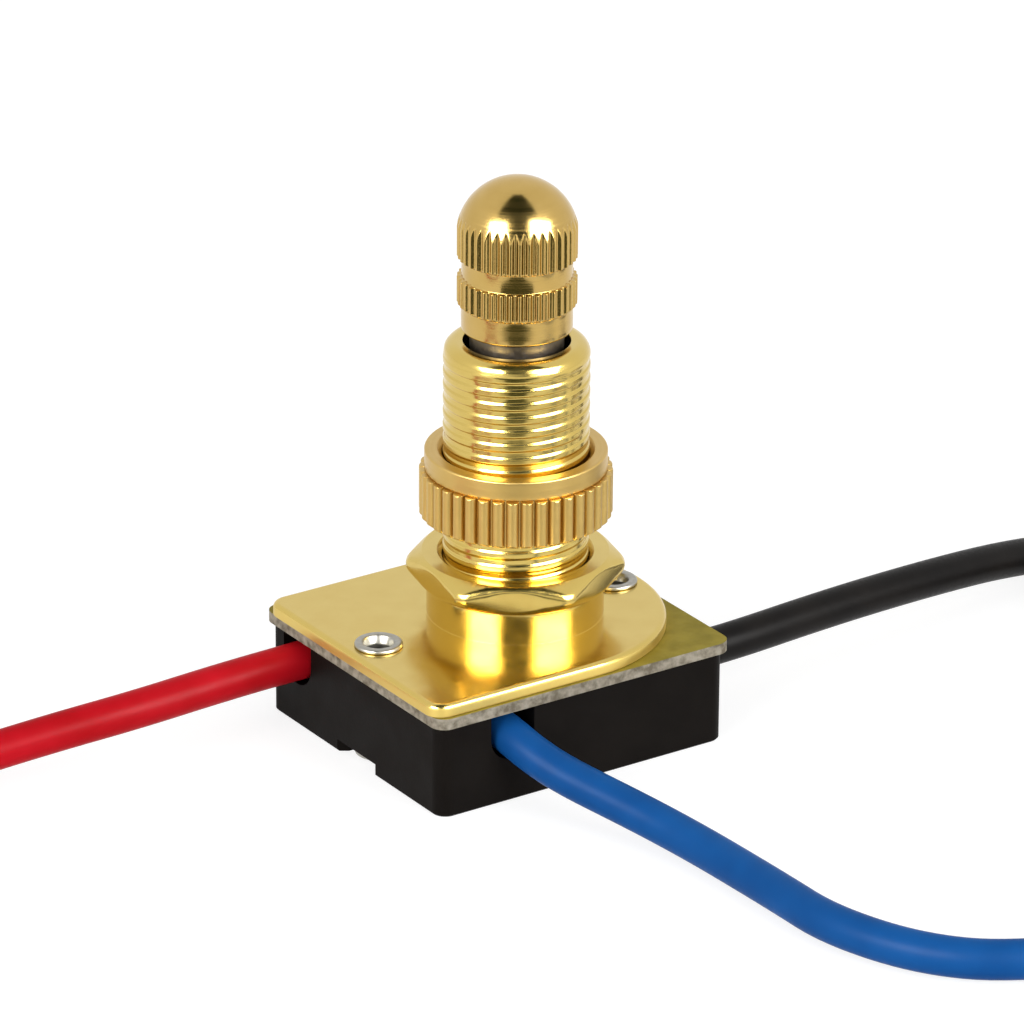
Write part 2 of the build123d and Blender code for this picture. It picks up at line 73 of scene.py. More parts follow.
COVER_LEFT = -12.85
COVER_THICKNESS = 0.90
COVER_CORNER = 1.20
COVER_EDGE = 0.35
COVER_UNDER_EDGE = 0.08
RIVETS = {"rivet_front": -10.60, "rivet_rear": 7.80}
RIVET_HOLE = 1.15
LEAD_DIAMETER = 2.55
COPPER_DIAMETER = 1.02
BARE_LENGTH = 8.0

# A flat margin beside the plate's rounded edge and the neck's foot keeps their shading off the flat
MARGIN = 0.06
FOOT_LOOP = NECK_RADIUS + NECK_FOOT + MARGIN
TURNED_COLUMNS = 200
HOLE_COLUMNS = 48


def node_box(name):
    """Lowest and highest corner of a node of the model, in millimetres."""
    low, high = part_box(name)
    return np.array(low) / MM, np.array(high) / MM


# Shapes


def grid_faces(rows, columns, close_rows=False):
    """Quads of a grid whose columns go all the way round, and its rows too with close_rows."""
    row = np.arange(rows if close_rows else rows - 1)[:, None]
    column = np.arange(columns)[None, :]
    row_after = (row + 1) % rows
    column_after = (column + 1) % columns
    corners = (
        row * columns + column,
        row * columns + column_after,
        row_after * columns + column_after,
        row_after * columns + column,
    )
    return np.stack(corners, axis=-1).reshape(-1, 4)


def make_piece(name, parts, hard_angle=38.0):
    """One piece from (points in millimetres, faces) parts.

    Points that coincide are merged, faces are turned outwards, and edges sharper than hard_angle
    degrees stay hard.
    """
    points, faces, used = [], [], 0
    for part_points, part_faces in parts:
        flat = np.asarray(part_points, float).reshape(-1, 3)
        points.append(flat)
        faces.extend((np.asarray(part_faces) + used).tolist())
        used += len(flat)
    mesh = bpy.data.meshes.new(name)
    mesh.from_pydata((np.concatenate(points) * MM).tolist(), [], faces)
    shell = bmesh.new()
    shell.from_mesh(mesh)
    bmesh.ops.remove_doubles(shell, verts=shell.verts, dist=0.0002 * MM)
    bmesh.ops.recalc_face_normals(shell, faces=shell.faces)
    shell.to_mesh(mesh)
    shell.free()
    mesh.shade_smooth()
    mesh.set_sharp_from_angle(angle=radians(hard_angle))
    piece = bpy.data.objects.new(name, mesh)
    bpy.context.scene.collection.objects.link(piece)
    return piece


def rounded_profile(corners, longest=0.2, arc_step=12.0):
    """Points of a profile of straight runs with round corners, given as (radius, height, rounding).

    Each rounded corner becomes the arc that is tangent to both runs, in steps of arc_step degrees,
    and no run is left longer than `longest`.
    """
    corners = np.array(corners, float)
    line = [corners[:1, :2]]
    for before, (r, z, rounding), after in zip(corners, corners[1:], corners[2:]):
        at = np.array((r, z))
        if rounding == 0:
            line.append(at[None])
            continue
        way_in = (at - before[:2]) / np.linalg.norm(at - before[:2])
        way_out = (after[:2] - at) / np.linalg.norm(after[:2] - at)
        turn = np.arctan2(way_in[0] * way_out[1] - way_in[1] * way_out[0], way_in @ way_out)
        inner_side = np.sign(turn) * np.array((-way_in[1], way_in[0]))
        start = at - way_in * rounding * tan(abs(turn) / 2)
        swept = np.linspace(0, abs(turn), max(3, ceil(degrees(abs(turn)) / arc_step) + 1))[:, None]
        line.append(
            start + inner_side * rounding * (1 - np.cos(swept)) + way_in * rounding * np.sin(swept)
        )
    line.append(corners[-1:, :2])
    line = np.concatenate(line)
    lengths = np.linalg.norm(np.diff(line, axis=0), axis=1)
    parts = np.maximum(1, np.ceil(lengths / longest)).astype(int)
    run = np.repeat(np.arange(len(parts)), parts)
    first = np.repeat(np.cumsum(parts) - parts, parts)
    share = (np.arange(len(run)) - first) / parts[run]
    divided = line[run] + (line[run + 1] - line[run]) * share[:, None]
    return np.vstack((divided, line[-1]))


def even_angles(count):
    """Angles of `count` even columns round the axis."""
    return np.linspace(0, 2 * pi, count, endpoint=False)


def around(radius, height, angle):
    """Grid of points round the Z axis: radius and height by row, a column for each angle."""
    return np.stack((radius * np.cos(angle), radius * np.sin(angle), height + 0 * angle), axis=-1)


def flutes(angle, band, depth, count, share=0.32, crown=0.045):
    """Outline radius of a band with `count` hollow flutes between crowned ridges.

    With f the distance from the nearest flute's middle as a share of the pitch, and r the distance
    from the nearest ridge's middle as a share of the ridge's half width, but 1 at most, the radius
    is band - crown r^2 - (depth - crown) h, where h is 1 - (f / share)^2, but 0 at least.
    """
    off = (angle * count / (2 * pi) + 0.5) % 1.0 - 0.5
    hollow = np.maximum(0, 1 - (off / share) ** 2)
    ridge = np.clip((0.5 - np.abs(off)) / (0.5 - share), 0, 1)
    return band - crown * ridge**2 - (depth - crown) * hollow


def lobe_angles(count):
    """Column angles of a ring of lobes, closer together at the valleys between them."""
    share = np.array([0.04, 0.12, 0.20, 0.27, 0.33, 0.38, 0.42, 0.455])
    steps = np.concatenate((-share[::-1], share, [0.5]))
    return ((np.arange(count)[:, None] + steps) * 2 * pi / count).reshape(1, -1)


def ring_of_lobes(angle, lobe_circle, lobe_radius, count, valley=None):
    """Outline radius of `count` round lobes whose centres lie on lobe_circle, over a valley circle.

    For an angle f from the nearest lobe's middle it is R cos f + sqrt(r^2 - (R sin f)^2), the far
    side of that lobe's circle, and never less than the valley, where there is one.
    """
    off = ((angle * count / (2 * pi) + 0.5) % 1.0 - 0.5) * 2 * pi / count
    inside = lobe_radius**2 - (lobe_circle * np.sin(off)) ** 2
    lobe = lobe_circle * np.cos(off) + np.sqrt(np.maximum(inside, 0))
    if valley is None:
        return lobe
    return np.where(inside > 0, np.maximum(lobe, valley), valley)


# Knob


def make_knob():
    """At each angle and height the radius is the smaller of the turned profile's and the flutes'.

    The profile runs up a collar, a lower band, a groove and an upper band to the dome, from the
    end of the blind hole that takes the spindle's stud.
    """
    low, high = node_box("knob")
    bottom, top = low[2], high[2]
    band, collar, groove, dome = 3.88, 3.61, 3.58, 3.95
    flute_count, flute_depth, columns_per_flute = 40, 0.21, 18
    hole, hole_end = 1.63, bottom + 3.0
    lower_bottom = bottom + 1.65
    lower_top = lower_bottom + 1.95
    upper_bottom = lower_top + 1.40
    groove_edge = groove + 0.02
    edge = 0.04
    dome_centre = top - dome
    meets = (dome**2 - band**2) ** 0.5
    body = rounded_profile(
        [
            (hole, hole_end, 0),
            (hole, bottom, 0),
            (collar, bottom, 0.20),
            (collar, lower_bottom, 0.03),
            (band, lower_bottom + 0.22, 0.06),
            (band, lower_top, edge),
            (groove_edge, lower_top + 0.06, edge),
            (groove, (lower_top + upper_bottom) / 2, 0),
            (groove_edge, upper_bottom - 0.12, 0.06),
            (band, upper_bottom, edge),
            (band, dome_centre + meets, 0),
        ],
        longest=0.3,
    )
    rise = np.linspace(atan2(meets, band), pi / 2, 50)[1:]
    cap = np.stack((dome * np.cos(rise), dome_centre + dome * np.sin(rise)), axis=-1)
    profile = np.vstack(((0, hole_end), body, cap))
    angle = even_angles(columns_per_flute * flute_count)
    radius = np.minimum(profile[:, :1], flutes(angle, band, flute_depth, flute_count))
    points = around(radius, profile[:, 1:], angle)
    piece = make_piece("knob_turned", [(points, grid_faces(*points.shape[:2]))], hard_angle=50)
    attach(piece, "knob")
    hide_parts("knob")
    return piece


# Ring nut


def make_ring_nut():
    """A plain collar over a band, where the radius is the smaller of the profile's and the lobes'."""
    low, high = node_box("ring_nut")
    bottom, top = low[2], high[2]
    ledge = top - 1.34
    band, collar, valley = 6.30, 5.95, 5.80
    lobe_count, lobe_radius = 40, 0.40
    mouth = NUT_BORE + NUT_COUNTERSINK
    hair = 0.01
    profile = rounded_profile(
        [
            (NUT_BORE, bottom + NUT_COUNTERSINK, 0),
            (mouth, bottom, 0.05),
            (band - 0.30, bottom, 0.10),
            (band, bottom + 0.20, 0.10),
            (band, ledge - 2 * hair, 0.12),
            (valley, ledge, 0),
            (valley + hair, ledge + 2 * hair, 0),
            (collar, ledge + 0.10, 0.02),
            (collar, top, 0.12),
            (mouth, top, 0.06),
            (NUT_BORE, top - NUT_COUNTERSINK, 0.05),
            (NUT_BORE, bottom + NUT_COUNTERSINK, 0),
        ],
        longest=0.15,
    )[:-1]
    angle = lobe_angles(lobe_count)
    outline = ring_of_lobes(angle, band - lobe_radius, lobe_radius, lobe_count, valley)
    in_band = (profile[:, 1:] < ledge + hair / 2) & (profile[:, :1] > valley - hair)
    radius = np.where(in_band, np.minimum(profile[:, :1], outline), profile[:, :1])
    points = around(radius, profile[:, 1:], angle)
    faces = grid_faces(*points.shape[:2], close_rows=True)
    piece = make_piece("ring_nut_turned", [(points, faces)], hard_angle=50)
    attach(piece, "ring_nut")
    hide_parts("ring_nut")
    return piece


# Hex nut


def make_hex_nut():
    """Six flats under a cone at each face: a side column runs between the two chamfer curves.

    At an angle f from the nearest flat's middle the side is at a / cos f, with a half the width
    across flats, but never past the rounded corner. The chamfer starts where the cone reaches that
    radius, and a curve P = (1-s)^2 A + 2 s (1-s) J + s^2 B rounds the edge J between the two.
    """
    low, high = node_box("hex_nut")
    bottom, top = low[2], high[2]
    half_flats, face_circle, corner_radius = 6.35, 6.10, 7.14
    chamfer, turn = radians(30), radians(26)
    corner_sharpness = 40
    rounding_share, widest_rounding, rounding_rows = 0.75, 0.45, 9
    angle = even_angles(6 * 48)
    off = (angle + pi / 6) % (pi / 3) - pi / 6
    flat = -corner_sharpness * half_flats / np.cos(off)
    side = -np.logaddexp(flat, -corner_sharpness * corner_radius) / corner_sharpness
    cone = (side - face_circle) / cos(chamfer)
    rounding = np.minimum(rounding_share * cone, widest_rounding)
    share = np.linspace(0, 1, rounding_rows)[:, None]
    edge_radius = side - rounding * cos(chamfer) * (1 - share) ** 2
    edge_drop = cone * sin(chamfer) + rounding * (share**2 - sin(chamfer) * (1 - share) ** 2)
    level = np.ones((1, len(angle)))
    bore_rows = (NUT_BORE * level, (NUT_BORE + NUT_COUNTERSINK) * level)
    radius = np.vstack((*bore_rows, face_circle * level, edge_radius))
    drop = np.vstack((NUT_COUNTERSINK * level, 0 * level, 0 * level, edge_drop))
    points = around(
        np.vstack((radius, radius[::-1])),
        np.vstack((bottom + drop, top - drop[::-1])),
        angle + turn + pi / 6,
    )
    faces = grid_faces(*points.shape[:2], close_rows=True)
    piece = make_piece("hex_nut_machined", [(points, faces)], hard_angle=24)
    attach(piece, "hex_nut")
    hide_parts("hex_nut")
    return piece


# Metal cover: plate, neck and threaded bushing, drawn in one piece


def cover_outline(inset, height):
    """The plate's D outline, moved inwards by inset: a half circle and a square-cut left end.

    The outline is walked by its length: right-hand arc, far side, corner, left end, corner, near
    side.
    """
    r = COVER_RADIUS - inset
    left = COVER_LEFT + inset
    corner = max(COVER_CORNER - inset, 0.02)
    side = COVER_ARC_X - left - corner
    end = 2 * (r - corner)
    arc = np.linspace(-pi / 2, pi / 2, 180, endpoint=False)
    quarter = np.linspace(0, pi / 2, 15)
    along = np.linspace(0, 1, 50, endpoint=False)
    short, long = corner * np.sin(quarter), corner * np.cos(quarter)
    x = np.concatenate(
        (
            COVER_ARC_X + r * np.cos(arc),
            COVER_ARC_X - side * along,
            left + corner - short,
            np.full(len(along) - 1, left),
            left + corner - long,
            left + corner + side * along[1:],
        )
    )
    y = np.concatenate(
        (
            r * np.sin(arc),
            np.full(len(along), r),
            r - corner + long,
            r - corner - end * along[1:],
            corner - r - short,
            np.full(len(along) - 1, -r),
        )
    )
    return np.column_stack((x, y, np.full(len(x), height)))


def circle(centre_x, radius, height, columns):
    """Points of a level circle whose centre lies on the X axis."""
    angle = even_angles(columns)
    return np.column_stack(
        (centre_x + radius * np.cos(angle), radius * np.sin(angle), np.full(columns, height))
    )


def flat_with_holes(outer, holes):
    """Triangles of a level face between its outer loop and round holes (loop, centre x, radius)."""
    loops = [outer] + [loop for loop, _, _ in holes]
    edges, used = [], 0
    for loop in loops:
        index = np.arange(len(loop))
        edges.append(np.column_stack((index, (index + 1) % len(loop))) + used)
        used += len(loop)
    corners = np.concatenate(loops)[:, :2].tolist()
    found = delaunay_2d_cdt(corners, np.concatenate(edges).tolist(), [], 1, 1e-6)
    xy, triangles = np.array(found[0]), np.array(found[2])
    middle = xy[triangles].mean(axis=1)
    kept = np.ones(len(triangles), bool)
    for _, centre_x, radius in holes:
        kept &= np.hypot(middle[:, 0] - centre_x, middle[:, 1]) > radius * 0.9995
    return np.column_stack((xy, np.full(len(xy), outer[0, 2]))), triangles[kept]


def neck_and_bushing(bottom, plate_top, top):
    """Grid of the neck, the threaded bushing and their inside, turned about the axis.

    The thread goes in by depth w^2 (3 - 2w), with w = 0.5 - 0.85 cos(2 pi z / pitch - angle) held
    between 0 and 1. So it climbs one pitch a turn, with flat crests and roots, and it fades out
    below the bushing's rounded end.
    """
    neck_top = plate_top + NECK_HEIGHT
    roof = neck_top - NECK_WALL
    rows_per_turn = 20
    fade_end, fade_height = 0.35, 1.0
    neck = rounded_profile(
        [
            (FOOT_LOOP, plate_top, 0),
            (NECK_RADIUS, plate_top, NECK_FOOT),
            (NECK_RADIUS, neck_top, NECK_EDGE),
            (BUSHING_RADIUS - THREAD_DEPTH, neck_top, 0),
        ],
        longest=0.1,
        arc_step=8,
    )
    thread_top = top - BUSHING_ROUND
    climb = np.arange(neck_top, thread_top, THREAD_PITCH / rows_per_turn)[1:]
    thread = np.column_stack((np.full(len(climb), BUSHING_RADIUS), climb))
    swept = np.linspace(0, pi / 2, 14)
    rounding = np.column_stack(
        (
            BUSHING_RADIUS - BUSHING_ROUND * (1 - np.cos(swept)),
            thread_top + BUSHING_ROUND * np.sin(swept),
        )
    )
    bore = rounded_profile(
        [
            (BUSHING_RADIUS - BUSHING_ROUND, top, 0),
            (BUSHING_BORE + 0.05, top, 0.10),
            (BUSHING_BORE, top - BUSHING_LIP, 0.10),
            (BUSHING_BORE, roof, 0),
            (NECK_INSIDE, roof, 0.15),
            (NECK_INSIDE, bottom, 0),
        ],
        longest=1.5,
    )[1:]
    profile = np.vstack((neck, thread, rounding, bore))
    angle = even_angles(TURNED_COLUMNS)
    height = profile[:, 1:]
    wave = np.clip(0.5 - 0.85 * np.cos(2 * pi * height / THREAD_PITCH - angle), 0, 1)
    threaded = np.zeros((len(profile), 1))
    threaded[len(neck) : len(profile) - len(bore)] = 1
    fade = np.clip((top - fade_end - height) / fade_height, 0, 1)
    radius = profile[:, :1] - THREAD_DEPTH * threaded * fade * wave**2 * (3 - 2 * wave)
    return around(radius, height, angle)


def plate_rim(bottom, plate_top):
    """Grid of the plate's edge: its outline, row by row from the top to the underside.

    The upper edge is a quarter round of radius e: at an angle a it lies e (1 - sin a) inside the
    outline and e (1 - cos a) below the plate's top.
    """
    round_end = plate_top - COVER_EDGE
    swept = np.linspace(0, pi / 2, 10)
    rows = [(COVER_EDGE + MARGIN, plate_top)]
    rows += [(COVER_EDGE * (1 - sin(a)), round_end + COVER_EDGE * cos(a)) for a in swept]
    rows += [(0, z) for z in np.linspace(round_end, bottom + COVER_UNDER_EDGE, 5)[1:]]
    rows += [(COVER_UNDER_EDGE, bottom)]
    return np.stack([cover_outline(inset, z) for inset, z in rows])


def make_metal_cover():
    """The turned grid and the plate's rim, joined by the plate's two flats and the rivet holes."""
    low, high = node_box("metal_cover")
    bottom, top = low[2], high[2]
    plate_top = bottom + COVER_THICKNESS
    turned = neck_and_bushing(bottom, plate_top, top)
    rim = plate_rim(bottom, plate_top)
    parts = [(turned, grid_faces(*turned.shape[:2])), (rim, grid_faces(*rim.shape[:2]))]
    for loop, radius, z in ((rim[0], FOOT_LOOP, plate_top), (rim[-1], NECK_INSIDE, bottom)):
        holes = [(circle(0, radius, z, TURNED_COLUMNS), 0, radius)]
        holes += [(circle(x, RIVET_HOLE, z, HOLE_COLUMNS), x, RIVET_HOLE) for x in RIVETS.values()]
        parts.append(flat_with_holes(loop, holes))
    for x in RIVETS.values():
        wall = np.stack([circle(x, RIVET_HOLE, z, HOLE_COLUMNS) for z in (bottom, plate_top)])
        parts.append((wall, grid_faces(2, HOLE_COLUMNS)))
    piece = make_piece("metal_cover_drawn", parts, hard_angle=40)
    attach(piece, "housing")
    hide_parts("metal_cover")
    return piece


# Rivets


def make_rivet(name, centre_x):
    """Tubular rivet: its upper end is rolled outwards into a round lip, its lower end flared."""
    low, high = node_box(name)
    bottom, top = low[2], high[2]
    bore, shank, flange = 0.82, 1.10, 1.58
    under_flange, over_roll = top - 0.28, bottom + 0.45
    mouth_width, mouth_depth = 0.22, 0.55
    profile = rounded_profile(
        [
            (bore, bottom + 1.0, 0),
            (bore, bottom, 0.20),
            (flange, bottom, 0.20),
            (flange, over_roll, 0.18),
            (shank, over_roll, 0.03),
            (shank, under_flange, 0.03),
            (flange, under_flange, 0.10),
            (flange, top, 0.17),
            (bore + mouth_width, top, 0.18),
            (bore, top - mouth_depth, 0.25),
            (bore, bottom + 1.0, 0),
        ],
        longest=0.5,
    )[:-1]
    points = around(profile[:, :1], profile[:, 1:], even_angles(72))
    points[..., 0] += centre_x
    faces = grid_faces(*points.shape[:2], close_rows=True)
    piece = make_piece(name + "_rolled", [(points, faces)])
    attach(piece, "housing")
    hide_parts(name)
    return piece


# Leads: each one is a single spline through its route and its coil, in millimetres

REST = LEAD_DIAMETER / 2
ROUTES = {
    "red": [
        (-9.85, 7.10, 4.60),
        (-13.20, 7.10, 4.60),
        (-18.60, 7.00, 4.55),
        (-24.60, 7.05, 4.25),
        (-30.40, 8.30, 3.50),
        (-36.80, 9.80, 2.40),
        (-43.80, 10.60, 1.55),
        (-51.20, 10.80, REST),
        (-58.20, 10.45, REST),
    ],
    "blue": [
        (-6.85, -7.50, 4.60),
        (-6.82, -9.60, 4.45),
        (-6.55, -11.60, 3.90),
        (-5.58, -13.82, 3.00),
        (-3.74, -18.39, 2.10),
        (-2.75, -21.30, 1.60),
        (-2.17, -24.64, 1.35),
        (-1.93, -28.12, REST),
        (-1.80, -32.28, REST),
        (-1.75, -37.60, REST),
        (0.57, -43.80, REST),
        (4.82, -47.83, REST),
        (15.60, -51.60, REST),
        (25.50, -55.35, REST),
    ],
    "black": [
        (7.35, -5.90, 4.60),
        (11.00, -5.90, 4.60),
        (14.60, -5.75, 4.60),
        (19.50, -5.20, 4.55),
        (25.00, -4.50, 4.35),
        (31.80, -3.40, 3.80),
        (38.20, -2.00, 2.90),
        (44.00, -1.00, 1.80),
        (49.40, -0.60, REST),
    ],
}
COIL_WAYS = {"red": 1, "blue": 1, "black": -1}
COIL_OUTER = 14.00
COIL_INNER = 11.40


def coil_turns(route, way, bare_start, bare_heading):
    """Points of the turns after a route, from its end to the point where the bare end starts.

    The radius goes in by one lead's width over the first turn, so the turns lie side by side. The
    last points lead straight into the bare end.
    """
    step, bend_in, least_sweep = radians(20), radians(24), radians(330)
    run_in = 3.6
    end = np.array(route[-1][:2])
    heading = end - np.array(route[-2][:2])
    heading /= np.linalg.norm(heading)
    centre = end + way * COIL_OUTER * np.array((-heading[1], heading[0]))
    start = atan2(*(end - centre)[::-1])
    last = atan2(*(np.array(bare_start[:2]) - centre)[::-1])
    sweep = (way * (last - start)) % (2 * pi)
    if sweep < least_sweep:
        sweep += 2 * pi
    turn = step * np.arange(1, int((sweep - bend_in) / step))
    radius = COIL_OUTER - (COIL_OUTER - COIL_INNER) * np.minimum(turn / (2 * pi), 1)
    at = start + way * turn
    turns = np.column_stack(
        (centre[0] + radius * np.cos(at), centre[1] + radius * np.sin(at), np.full(len(at), REST))
    )
    before_end = np.array(bare_start) - run_in * np.array((*bare_heading[:2], 0))
    return [*turns, before_end, bare_start]


def coil_middle(colour):
    """Middle of a lead's coil."""
    low, high = node_box(colour + "_lead_coil")
    return (low + high) / 2


def bare_end_line(colour):
    """Start and heading of a lead's bare end, from its solid in the model, which is a plain rod.

    The rod's axis is the direction in which its points spread most. It points into the coil, so it
    starts at the end that is further from the coil's middle.
    """
    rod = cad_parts[colour + "_bare_end"]
    points = np.empty(len(rod.data.vertices) * 3)
    rod.data.vertices.foreach_get("co", points)
    points = points.reshape(-1, 3) / MM
    middle = points.mean(axis=0)
    along = np.linalg.svd(points - middle)[2][0]
    reach = (points - middle) @ along
    ends = middle + along * reach.min(), middle + along * reach.max()
    centre = coil_middle(colour)
    end, start = sorted(ends, key=lambda place: np.linalg.norm(place - centre))
    return start, (end - start) / np.linalg.norm(end - start)


def make_strands(name, start, heading):
    """Twisted copper strands: a rod whose outline is a ring of seven lobes, turned along its length."""
    strands, columns, rows = 7, 84, 60
    lay_length = 14.0
    along = np.linspace(0, BARE_LENGTH, rows)[:, None]
    angle = even_angles(columns)
    outer = COPPER_DIAMETER / 2
    strand = outer * 0.30
    radius = ring_of_lobes(angle + 2 * pi * along / lay_length, outer - strand, strand, strands)
    side = np.array((-heading[1], heading[0], 0))
    points = (
        start
        + along[..., None] * heading
        + (radius * np.cos(angle))[..., None] * side
        + (radius * np.sin(angle))[..., None] * np.array((0, 0, 1))
    )
    tips = np.repeat(points[[0, -1]].mean(axis=1, keepdims=True), columns, axis=1)
    points = np.vstack((tips[:1], points, tips[1:]))
    return make_piece(name, [(points, grid_faces(*points.shape[:2]))], hard_angle=60)


def make_lead(colour):
    """Spline of a lead, and the strands of its bare end."""
    bare_start, heading = bare_end_line(colour)
    route = ROUTES[colour] + coil_turns(ROUTES[colour], COIL_WAYS[colour], bare_start, heading)
    curve = bpy.data.curves.new(colour + "_lead_wire", "CURVE")
    curve.dimensions = "3D"
    spline = curve.splines.new("NURBS")
    spline.points.add(len(route) - 1)
    # The thickness is split over bevel depth and point radius, because a curve's bounding box grows
    # by the whole of its points' radius
    for point, place in zip(spline.points, route):
        point.co = (*(np.array(place) * MM), 1)
        point.radius = MM
    spline.order_u = 3
    spline.use_endpoint_u = True
    spline.resolution_u = 8
    curve.bevel_depth = LEAD_DIAMETER / 2
    curve.bevel_resolution = 8
    curve.use_fill_caps = True
    lead = bpy.data.objects.new(colour + "_lead_wire", curve)
    bpy.context.scene.collection.objects.link(lead)
    strands = make_strands(colour + "_bare_strands", bare_start, heading)
    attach(lead, "housing")
    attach(strands, "housing")
    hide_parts(colour + "_lead", colour + "_lead_coil")
    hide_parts(colour + "_bare_end")
    return lead, strands


# Materials

# Most of a noise pattern lies in this range
MIDDLE = {"From Min": 0.35, "From Max": 0.65}


def linear(code):
    """sRGB hex code to a linear colour with alpha."""
    channels = [int(code[i : i + 2], 16) / 255 for i in (1, 3, 5)]
    levels = [c / 12.92 if c <= 0.04045 else ((c + 0.055) / 1.055) ** 2.4 for c in channels]
    return (*levels, 1.0)


def add(tree, kind, inputs=None, **settings):
    """Add one node. inputs maps a socket to a value, or to the output that it is linked from."""
    made = tree.nodes.new(kind)
    for key, value in settings.items():
        setattr(made, key, value)
    for key, value in (inputs or {}).items():
        if isinstance(value, bpy.types.NodeSocket):
            tree.links.new(value, made.inputs[key])
        else:
            made.inputs[key].default_value = value
    return made


def new_material(name, *patterns):
    """An empty material, its node tree, its Object coordinates and the patterns asked for.

    A pattern is a noise, given as (features to the millimetre, detail).
    """
    material = bpy.data.materials.new(name)
    material.use_nodes = True
    tree = material.node_tree
    tree.nodes.clear()
    place = add(tree, "ShaderNodeTexCoord").outputs["Object"]
    noises = [
        add(tree, "ShaderNodeTexNoise", {"Vector": place, "Scale": per_mm / MM, "Detail": detail})
        for per_mm, detail in patterns
    ]
    return material, tree, place, *[noise.outputs["Fac"] for noise in noises]


def finish_material(tree, tones, share, inputs):
    """Principled shader on the output: its colour is a mix of two hex tones, by share."""
    colour = add(
        tree,
        "ShaderNodeMix",
        {"Factor": share, "A": linear(tones[0]), "B": linear(tones[1])},
        data_type="RGBA",
    ).outputs[2]
    shader = add(tree, "ShaderNodeBsdfPrincipled", {"Base Color": colour, **inputs})
    add(tree, "ShaderNodeOutputMaterial", {"Surface": shader.outputs["BSDF"]})


def brass_plating():
    """Bright brass plate on drawn steel: mirror-like, with a slight waviness that makes reflections
    swim and a faint haze that softens them. The drawn plate and neck, below the nut, are a little
    duller, and the plate's blanked edge more so."""
    material, tree, place, haze, wave, grain = new_material(
        "brass_plating_bright", (0.5, 3.0), (0.9, 1.0), (9.0, 3.0)
    )
    swim = add(tree, "ShaderNodeBump", {"Height": wave, "Strength": 0.10, "Distance": 0.02 * MM})
    fine = add(
        tree,
        "ShaderNodeBump",
        {
            "Height": grain,
            "Strength": 0.10,
            "Distance": 0.004 * MM,
            "Normal": swim.outputs["Normal"],
        },
    )
    level = add(tree, "ShaderNodeSeparateXYZ", {"Vector": place}).outputs["Z"]
    at_edge = {"From Min": 7.70 * MM, "From Max": 7.83 * MM, "To Min": 0.22, "To Max": 0.0}
    below_nut = {"From Min": 11.9 * MM, "From Max": 12.3 * MM, "To Min": 0.03, "To Max": 0.0}
    dull = [
        add(tree, "ShaderNodeMapRange", {"Value": value, **reach}).outputs["Result"]
        for value, reach in (
            (level, at_edge),
            (level, below_nut),
            (haze, {**MIDDLE, "To Min": 0.13, "To Max": 0.21}),
        )
    ]
    drawn = add(tree, "ShaderNodeMath", {0: dull[0], 1: dull[1]}, operation="ADD").outputs[0]
    sheen = add(tree, "ShaderNodeMath", {0: dull[2], 1: drawn}, operation="ADD").outputs[0]
    finish_material(
        tree,
        ("#D5BC6C", "#CCB05E"),
        haze,
        {"Metallic": 1.0, "Roughness": sheen, "Normal": fine.outputs["Normal"]},
    )
    return material


def turned_brass(name, rough_low, rough_high):
    """Solid brass off the lathe: warmer and duller than plating, with fine rings round the axis."""
    material, tree, place, cloud = new_material(name, (0.8, 3.0))
    parts = add(tree, "ShaderNodeSeparateXYZ", {"Vector": place})
    squares = [
        add(tree, "ShaderNodeMath", {0: parts.outputs[axis], 1: 2.0}, operation="POWER").outputs[0]
        for axis in ("X", "Y")
    ]
    reach = add(tree, "ShaderNodeMath", {0: squares[0], 1: squares[1]}, operation="ADD").outputs[0]
    radius = add(tree, "ShaderNodeMath", {0: reach, 1: 0.5}, operation="POWER").outputs[0]
    section = add(tree, "ShaderNodeCombineXYZ", {"X": radius, "Y": parts.outputs["Z"]}).outputs[0]
    rings = add(
        tree, "ShaderNodeTexNoise", {"Vector": section, "Scale": 9.0 / MM, "Detail": 2.0}
    ).outputs["Fac"]
    bump = add(tree, "ShaderNodeBump", {"Height": rings, "Strength": 0.15, "Distance": 0.006 * MM})
    rough = add(
        tree,
        "ShaderNodeMapRange",
        {**MIDDLE, "Value": rings, "To Min": rough_low, "To Max": rough_high},
    )
    finish_material(
        tree,
        ("#C9AA66", "#BE9E58"),
        cloud,
        {
            "Metallic": 1.0,
            "Roughness": rough.outputs["Result"],
            "Normal": bump.outputs["Normal"],
        },
    )
    return material


def phenolic():
    """Moulded phenolic: black-brown and semi-matte, with a faint flow grain that breaks its sheen."""
    material, tree, _, cloud, grain = new_material("phenolic_moulded", (0.35, 4.0), (5.0, 4.0))
    bump = add(tree, "ShaderNodeBump", {"Height": grain, "Strength": 0.35, "Distance": 0.02 * MM})
    rough = add(
        tree, "ShaderNodeMapRange", {**MIDDLE, "Value": cloud, "To Min": 0.40, "To Max": 0.54}
    )
    finish_material(
        tree,
        ("#0F0C0A", "#171310"),
        cloud,
        {
            "Roughness": rough.outputs["Result"],
            "Specular IOR Level": 0.04,
            "Normal": bump.outputs["Normal"],
        },
    )
    return material


